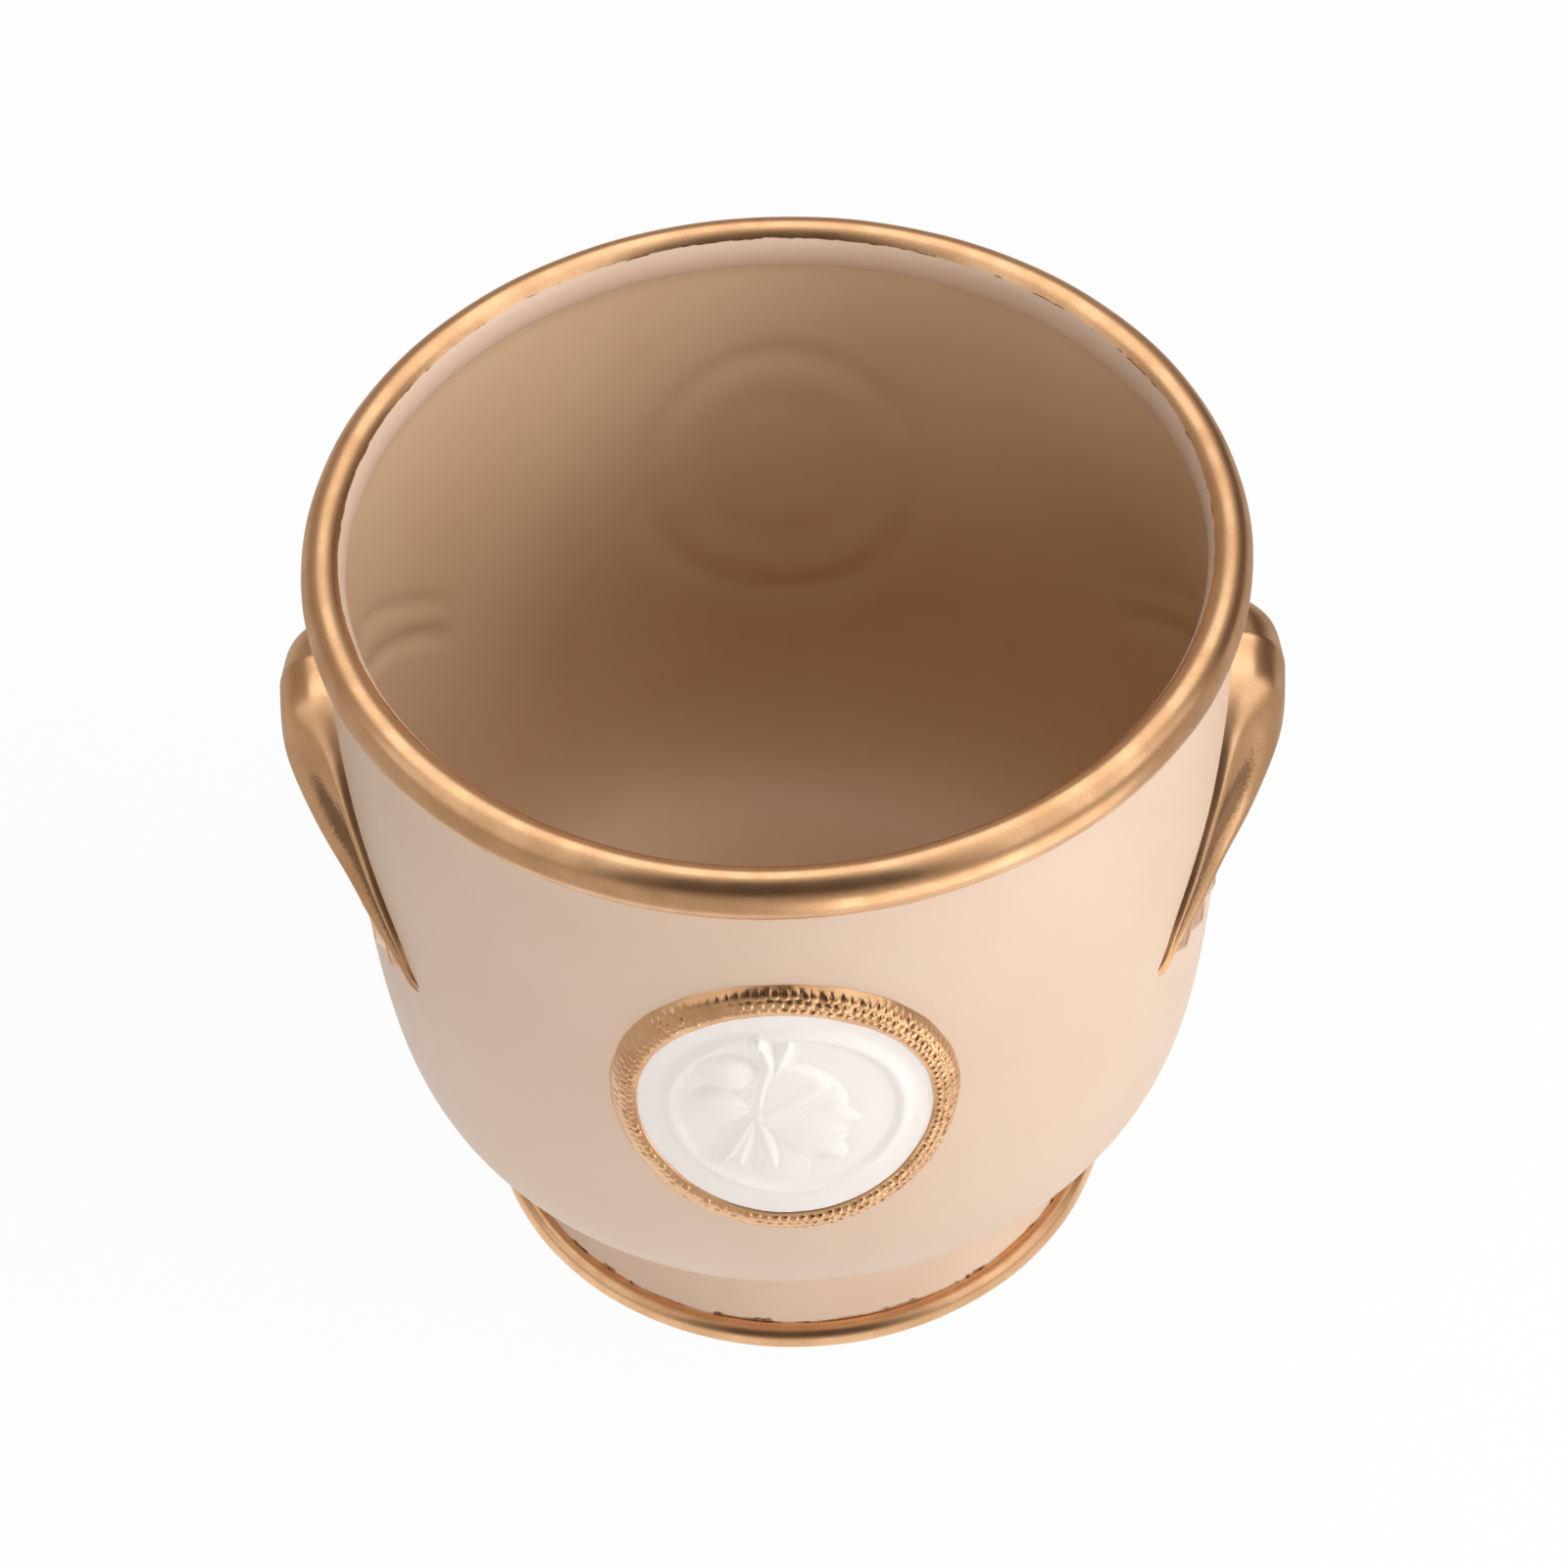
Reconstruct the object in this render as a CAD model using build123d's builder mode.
from build123d import *
import os
from math import cos, radians, sin

os.makedirs("parts", exist_ok=True)

# Cachepot: a deep round pot on a flared foot, with an arched handle on each side wall
# and an oval cameo medallion on the front and on the back.
# The origin is on the pot's axis at floor level. The front faces -Y, the handles point to +X and -X.

# Overall sizes
height = 251.0
rim_radius = 130.0
wall = 5.5

# Rolled bead around the lip
bead_width = 12.2
bead_height = 15.6
bead_overhang = 4.6
bead_seat = 2.2

# Bowl
neck_radius = 80.0
neck_height = 30.0
neck_angle = 24.0
floor_thickness = 7.0
floor_radius = 52.0
bowl_outline_shares = [
    (0.0, 0.0),
    (0.40, 0.060),
    (0.75, 0.158),
    (0.892, 0.280),
    (0.962, 0.480),
    (0.992, 0.740),
    (1.0, 1.0),
]
inner_outline_shares = [0.15, 0.22, 0.30, 0.42, 0.70]
end_pull_shares = (1.0, 1.0)

# Foot ring and its gilded toe
foot_radius = 93.7
foot_wall = 7.0
foot_waist_shares = (0.22, 0.42)
toe_width = 5.2
toe_height = 6.6
toe_top_round = 4.2
toe_base_round = 1.6

# Slip joint that bonds each applied piece to the wall
slip_joint = 0.3

# Handles, measured around the pot from the handle's middle and down from the rim
handle_span_angle = 32.5
handle_drop = 45.0
handle_rise = 67.0
handle_standoff = 16.0
handle_bury = 3.0
handle_upper_ridge = 3.2

# Stations along half the handle: angle, top, outer ridge and base heights, standoff, flute depth
handle_station_shares = [
    (0.0, 1.0, 0.69, 0.50, 1.0, 0.0),
    (0.2, 0.96, 0.645, 0.48, 0.90, 0.08),
    (0.4, 0.80, 0.51, 0.35, 0.63, 0.35),
    (0.6, 0.60, 0.345, 0.20, 0.38, 0.55),
    (0.8, 0.405, 0.21, 0.08, 0.24, 0.60),
    (1.0, 0.11, 0.025, -0.06, 0.08, 0.20),
]
# Fullness of the handle's section at its shoulder, its crown, its flute and its underside
handle_shoulder_share = 0.5
handle_crown_share = 0.78
handle_flute_share = 0.375
handle_underside_share = 0.7
# The shoulder's place on the way down from the top to the outer ridge
handle_shoulder_drop_share = 0.22

# Finger pocket behind the arch of each handle
pocket_depth = 8.5
pocket_width = 40.0
pocket_roof = 11.0
pocket_corner = 14.0

# Lobed leaf under each handle leg
leaf_thickness = 3.6
leaf_inner_side = 22.0
leaf_height = 20.0
leaf_lobe_shares = [
    (1.0, 1.0),
    (0.86, 0.38),
    (0.66, 0.60),
    (0.50, 0.14),
    (0.33, 0.42),
    (0.14, 0.0),
    (0.0, 0.60),
]
# The leaf's upper edge lies under the leg: place across the leaf and share of the handle's rise
leaf_top_shares = [(0.0, 0.58), (0.245, 0.51), (0.51, 0.37), (0.776, 0.194)]

# Medallions
medallion_drop = 97.5
plaque_width = 81.8
plaque_length = 89.0
plaque_thickness = 2.4
frame_side_band = 6.1
frame_end_band = 10.5
frame_thickness = 4.2
frame_round = 2.4
ring_side_margin = 6.15
ring_end_margin = 7.0
ring_band = 6.0
ring_rise = 1.2
ring_lift = 1.8

# Relief of a head on each plaque, facing to its right
head_clearance = 10.0
head_relief = 2.6
head_chin_shares = (0.37, -0.442)
head_outline_shares = [
    (0.0, 0.06),
    (-0.035, 0.16),
    (0.0, 0.21),
    (-0.02, 0.245),
    (0.012, 0.285),
    (-0.01, 0.33),
    (0.095, 0.385),
    (0.0, 0.53),
    (0.01, 0.60),
    (-0.035, 0.76),
    (-0.12, 0.89),
    (-0.25, 0.97),
    (-0.42, 1.0),
    (-0.66, 0.92),
    (-0.86, 0.84),
    (-0.99, 0.62),
    (-0.92, 0.42),
    (-0.74, 0.33),
    (-0.60, 0.20),
    (-0.60, -0.12),
    (-0.42, -0.22),
    (-0.27, -0.14),
    (-0.22, 0.02),
    (-0.12, -0.015),
    (-0.04, -0.01),
]

# One overrun serves all cuts
overrun = 2.0

# Where the round profiles are drawn, turned from +X
seam_angle = 45.0

# Sizes worked out from those above
wall_top = height - bead_height + bead_seat
lip_radius = rim_radius - bead_overhang
mouth_radius = lip_radius - wall
bowl_flare = lip_radius - neck_radius
bowl_rise = wall_top - neck_height
floor_top = neck_height + floor_thickness
foot_core_radius = foot_radius - toe_width
outer_reach = rim_radius + handle_standoff
handle_top = height - handle_drop
handle_tip_height = handle_top - handle_rise
pocket_top = handle_top - pocket_roof
leaf_base_height = handle_tip_height - leaf_height
medallion_height = height - medallion_drop
frame_width = plaque_width + 2 * frame_side_band
frame_length = plaque_length + 2 * frame_end_band
ring_width = plaque_width - 2 * ring_side_margin
ring_length = plaque_length - 2 * ring_end_margin
head_height = ring_length - 2 * ring_band - 2 * head_clearance


def station_plane(angle):
    """Upright plane through the pot's axis, turned from +X by an angle."""
    out = (cos(radians(angle)), sin(radians(angle)), 0)
    return Plane(origin=(0, 0, 0), x_dir=out, z_dir=(out[1], -out[0], 0))


# Round profiles are drawn between the handles and the medallions, so their seams lie on bare wall
profile_plane = station_plane(seam_angle)


# Outline of the bowl's outer face, as radius and height
with BuildLine() as outer_outline:
    outer_curve = Spline(
        [(neck_radius + r * bowl_flare, neck_height + h * bowl_rise) for r, h in bowl_outline_shares],
        tangents=[(cos(radians(neck_angle)), sin(radians(neck_angle))), (0, 1)],
        tangent_scalars=end_pull_shares,
    )


def wall_radius(level):
    """Radius of the bowl's outer face at a height above the floor."""
    low, high = 0.0, 1.0
    for _ in range(30):
        middle = (low + high) / 2
        if (outer_curve @ middle).Y < level:
            low = middle
        else:
            high = middle
    return (outer_curve @ low).X


def inset_point(share):
    """Point inside the wall, one wall thickness in from the outer face."""
    along = outer_curve % share
    place = outer_curve @ share
    return (place.X - wall * along.Y, place.Y + wall * along.X)


def jacket(lower, upper):
    """Solid that follows the bowl's outer face, from one thickness off it to another."""
    with BuildPart() as skin:
        with BuildSketch(profile_plane):
            with BuildLine():
                near = outer_curve.moved(Location((lower, 0, 0)))
                far = outer_curve.moved(Location((upper, 0, 0)))
                add([near, far])
                Line(near @ 0, far @ 0)
                Line(near @ 1, far @ 1)
            make_face()
        revolve(axis=Axis.Z)
    return skin.part


# Filled shape of the bowl and its slip joint, which the handles are cut to fit
with BuildPart() as bowl_seat:
    with BuildSketch(profile_plane):
        with BuildLine():
            seat_curve = outer_curve.moved(Location((slip_joint, 0, 0)))
            add(seat_curve)
            Polyline(seat_curve @ 1, (0, wall_top), (0, neck_height), seat_curve @ 0)
        make_face()
    revolve(axis=Axis.Z)


# Bowl: the thin wall and the floor
with BuildPart() as bowl:
    with BuildSketch(profile_plane):
        with BuildLine():
            add(outer_curve)
            inner_curve = Spline(
                (floor_radius, floor_top),
                *[inset_point(share) for share in inner_outline_shares],
                (mouth_radius, wall_top),
                tangents=[(1, 0), (0, 1)],
                tangent_scalars=end_pull_shares,
            )
            Line(outer_curve @ 1, inner_curve @ 1)
            Polyline(inner_curve @ 0, (0, floor_top), (0, neck_height), outer_curve @ 0)
        make_face()
    revolve(axis=Axis.Z)
bowl.part.label = "bowl"
export_step(bowl.part, "parts/bowl.step")


# Rim bead: an upright oval section that sits on the wall's top edge and laps over its outside
with BuildPart() as rim_bead:
    with BuildSketch(profile_plane):
        with Locations((rim_radius - bead_width / 2, height - bead_height / 2)):
            Ellipse(bead_width / 2, bead_height / 2)
        with Locations((0, wall_top)):
            Rectangle(lip_radius, bead_height, align=(Align.MIN, Align.MAX), mode=Mode.SUBTRACT)
    revolve(axis=Axis.Z)
rim_bead.part.label = "rim_bead"
export_step(rim_bead.part, "parts/rim_bead.step")


# Foot ring: hollow, waisted under the bowl and flared down to the toe
with BuildPart() as foot_ring:
    with BuildSketch(profile_plane):
        with BuildLine():
            flare = foot_core_radius - neck_radius
            drop = neck_height - toe_height
            waist = (neck_radius + foot_waist_shares[0] * flare, toe_height + foot_waist_shares[1] * drop)
            outside = ThreePointArc((neck_radius, neck_height), waist, (foot_core_radius, toe_height))
            Line(outside @ 1, (foot_core_radius, 0))
            Line((foot_core_radius, 0), (foot_core_radius - foot_wall, 0))
            inside = ThreePointArc(
                (foot_core_radius - foot_wall, 0),
                (waist[0] - foot_wall, waist[1]),
                (neck_radius - foot_wall, neck_height),
            )
            Line(inside @ 1, outside @ 0)
        make_face()
    revolve(axis=Axis.Z)
foot_ring.part.label = "foot_ring"
export_step(foot_ring.part, "parts/foot_ring.step")


# Foot band: the rounded toe around the foot ring, which rests on the floor with it
with BuildPart() as foot_band:
    with BuildSketch(profile_plane) as band_section:
        with Locations((foot_core_radius, 0)):
            Rectangle(toe_width, toe_height, align=(Align.MIN, Align.MIN))
        outer_corners = band_section.vertices().group_by(Axis.X)[-1].sort_by(Axis.Y)
        fillet(outer_corners[0], toe_base_round)
        fillet(band_section.vertices().group_by(Axis.Y)[-1].sort_by(Axis.X)[-1], toe_top_round)
    revolve(axis=Axis.Z)
foot_band.part.label = "foot_band"
export_step(foot_band.part, "parts/foot_band.step")


def handle_height(share):
    """Height above the floor for a share of the handle's rise above its tips."""
    return handle_tip_height + share * handle_rise


def handle_section(top_share, ridge_share, base_share, standoff_share, flute_share):
    """Outline of the handle in the upright plane through the pot's axis at one station."""
    top = handle_height(top_share)
    ridge = handle_height(ridge_share)
    base = handle_height(base_share)
    standoff = handle_standoff * standoff_share
    upper_ridge = min(handle_upper_ridge, standoff)
    shoulder = top - (top - ridge) * handle_shoulder_drop_share
    middle = (top + ridge) / 2
    underside = (ridge + base) / 2
    smooth_share = 1 - flute_share
    shoulder_depth = upper_ridge * flute_share + standoff * handle_shoulder_share * smooth_share
    crown_depth = upper_ridge + (standoff - upper_ridge) * handle_crown_share
    flute_depth = (upper_ridge + standoff) * handle_flute_share
    return [
        (wall_radius(top) - handle_bury, top),
        (wall_radius(shoulder) + shoulder_depth, shoulder),
        (wall_radius(middle) + crown_depth * smooth_share + flute_depth * flute_share, middle),
        (wall_radius(ridge) + standoff, ridge),
        (wall_radius(underside) + standoff * handle_underside_share, underside),
        (wall_radius(base) - handle_bury, base),
    ]


# Finger pocket: the hollow behind the arch, open at its lower side
with BuildPart() as finger_pocket:
    with BuildSketch(Plane.YZ) as pocket_outline:
        with Locations((0, pocket_top)):
            Rectangle(pocket_width, pocket_top - leaf_base_height, align=(Align.CENTER, Align.MAX))
        fillet(pocket_outline.vertices().group_by(Axis.Y)[-1], pocket_corner)
    extrude(amount=outer_reach)
    add(jacket(-overrun, pocket_depth), mode=Mode.INTERSECT)


# Right handle: half of the arch is lofted, cut to the wall, hollowed behind and mirrored
with BuildPart() as right_handle:
    for angle_share, *section_shares in handle_station_shares:
        with BuildSketch(station_plane(-handle_span_angle * angle_share)):
            with BuildLine():
                section = Spline(*handle_section(*section_shares))
                Line(section @ 1, section @ 0)
            make_face()
    loft()
    add(bowl_seat.part, mode=Mode.SUBTRACT)
    add(finger_pocket.part, mode=Mode.SUBTRACT)
    mirror(about=Plane.XZ)
right_handle.part.label = "right_handle"
export_step(right_handle.part, "parts/right_handle.step")


# Left handle: the right one mirrored
with BuildPart() as left_handle:
    add(mirror(right_handle.part, about=Plane.YZ))
left_handle.part.label = "left_handle"
export_step(left_handle.part, "parts/left_handle.step")


def leaf_side(share):
    """Place across the leaf, as a share of the way from its inner side to the handle's tip."""
    tip_side = wall_radius(handle_tip_height) * sin(radians(handle_span_angle))
    return -leaf_inner_side - share * (tip_side - leaf_inner_side)


# Leaf under the right handle's front leg: lobed along its lower side and cut to fit the leg
with BuildPart() as right_front_leaf:
    with BuildSketch(Plane.YZ):
        with BuildLine():
            lower = [(leaf_side(x), leaf_base_height + z * leaf_height) for x, z in leaf_lobe_shares]
            upper = [(leaf_side(x), handle_height(z)) for x, z in leaf_top_shares]
            for start in range(0, len(lower) - 1, 2):
                ThreePointArc(*lower[start:start + 3])
            Polyline(lower[-1], *upper, lower[0])
        make_face()
    extrude(amount=outer_reach)
    add(jacket(slip_joint, leaf_thickness), mode=Mode.INTERSECT)
    add(right_handle.part, mode=Mode.SUBTRACT)
right_front_leaf.part.label = "right_front_leaf"
export_step(right_front_leaf.part, "parts/right_front_leaf.step")


# The other three leaves are mirror images of it
with BuildPart() as right_rear_leaf:
    add(mirror(right_front_leaf.part, about=Plane.XZ))
right_rear_leaf.part.label = "right_rear_leaf"
export_step(right_rear_leaf.part, "parts/right_rear_leaf.step")

with BuildPart() as left_front_leaf:
    add(mirror(right_front_leaf.part, about=Plane.YZ))
left_front_leaf.part.label = "left_front_leaf"
export_step(left_front_leaf.part, "parts/left_front_leaf.step")

with BuildPart() as left_rear_leaf:
    add(mirror(left_front_leaf.part, about=Plane.XZ))
left_rear_leaf.part.label = "left_rear_leaf"
export_step(left_rear_leaf.part, "parts/left_rear_leaf.step")


# Medallion frame: a domed oval band that lies on the wall
with BuildPart() as front_medallion_frame:
    with BuildSketch(Plane.XZ):
        with Locations((0, medallion_height)):
            Ellipse(frame_width / 2, frame_length / 2)
            Ellipse(plaque_width / 2 + slip_joint, plaque_length / 2 + slip_joint, mode=Mode.SUBTRACT)
    extrude(amount=outer_reach)
    add(jacket(slip_joint, frame_thickness), mode=Mode.INTERSECT)
    front_face = front_medallion_frame.faces().sort_by(Axis.Y)[0]
    fillet(front_face.edges(), frame_round)
front_medallion_frame.part.label = "front_medallion_frame"
export_step(front_medallion_frame.part, "parts/front_medallion_frame.step")


# Raised ring on the plaque
with BuildPart() as plaque_ring:
    with BuildSketch(Plane.XZ):
        with Locations((0, medallion_height + ring_lift)):
            Ellipse(ring_width / 2, ring_length / 2)
            Ellipse(ring_width / 2 - ring_band, ring_length / 2 - ring_band, mode=Mode.SUBTRACT)
    extrude(amount=outer_reach)
    add(jacket(slip_joint, plaque_thickness + ring_rise), mode=Mode.INTERSECT)


# Cameo plaque: an oval plate inside the frame, with its raised ring
with BuildPart() as front_cameo_plaque:
    with BuildSketch(Plane.XZ):
        with Locations((0, medallion_height)):
            Ellipse(plaque_width / 2, plaque_length / 2)
    extrude(amount=outer_reach)
    add(jacket(slip_joint, plaque_thickness), mode=Mode.INTERSECT)
    add(plaque_ring.part)
front_cameo_plaque.part.label = "front_cameo_plaque"
export_step(front_cameo_plaque.part, "parts/front_cameo_plaque.step")


# Cameo bust: a classical head in profile with the hair in a knot
with BuildPart() as front_cameo_bust:
    with BuildSketch(Plane.XZ):
        with BuildLine():
            chin_side, chin_rise = [share * head_height for share in head_chin_shares]
            chin = (chin_side, medallion_height + chin_rise)
            Spline(
                [(chin[0] + x * head_height, chin[1] + z * head_height) for x, z in head_outline_shares],
                periodic=True,
            )
        make_face()
    extrude(amount=outer_reach)
    add(jacket(plaque_thickness + slip_joint, plaque_thickness + head_relief), mode=Mode.INTERSECT)
front_cameo_bust.part.label = "front_cameo_bust"
export_step(front_cameo_bust.part, "parts/front_cameo_bust.step")


# The back medallion is the front one turned half way round the pot
for front in (front_medallion_frame, front_cameo_plaque, front_cameo_bust):
    with BuildPart() as back_piece:
        add(front.part.rotate(Axis.Z, 180))
    back_piece.part.label = front.part.label.replace("front", "back")
    export_step(back_piece.part, "parts/" + back_piece.part.label + ".step")
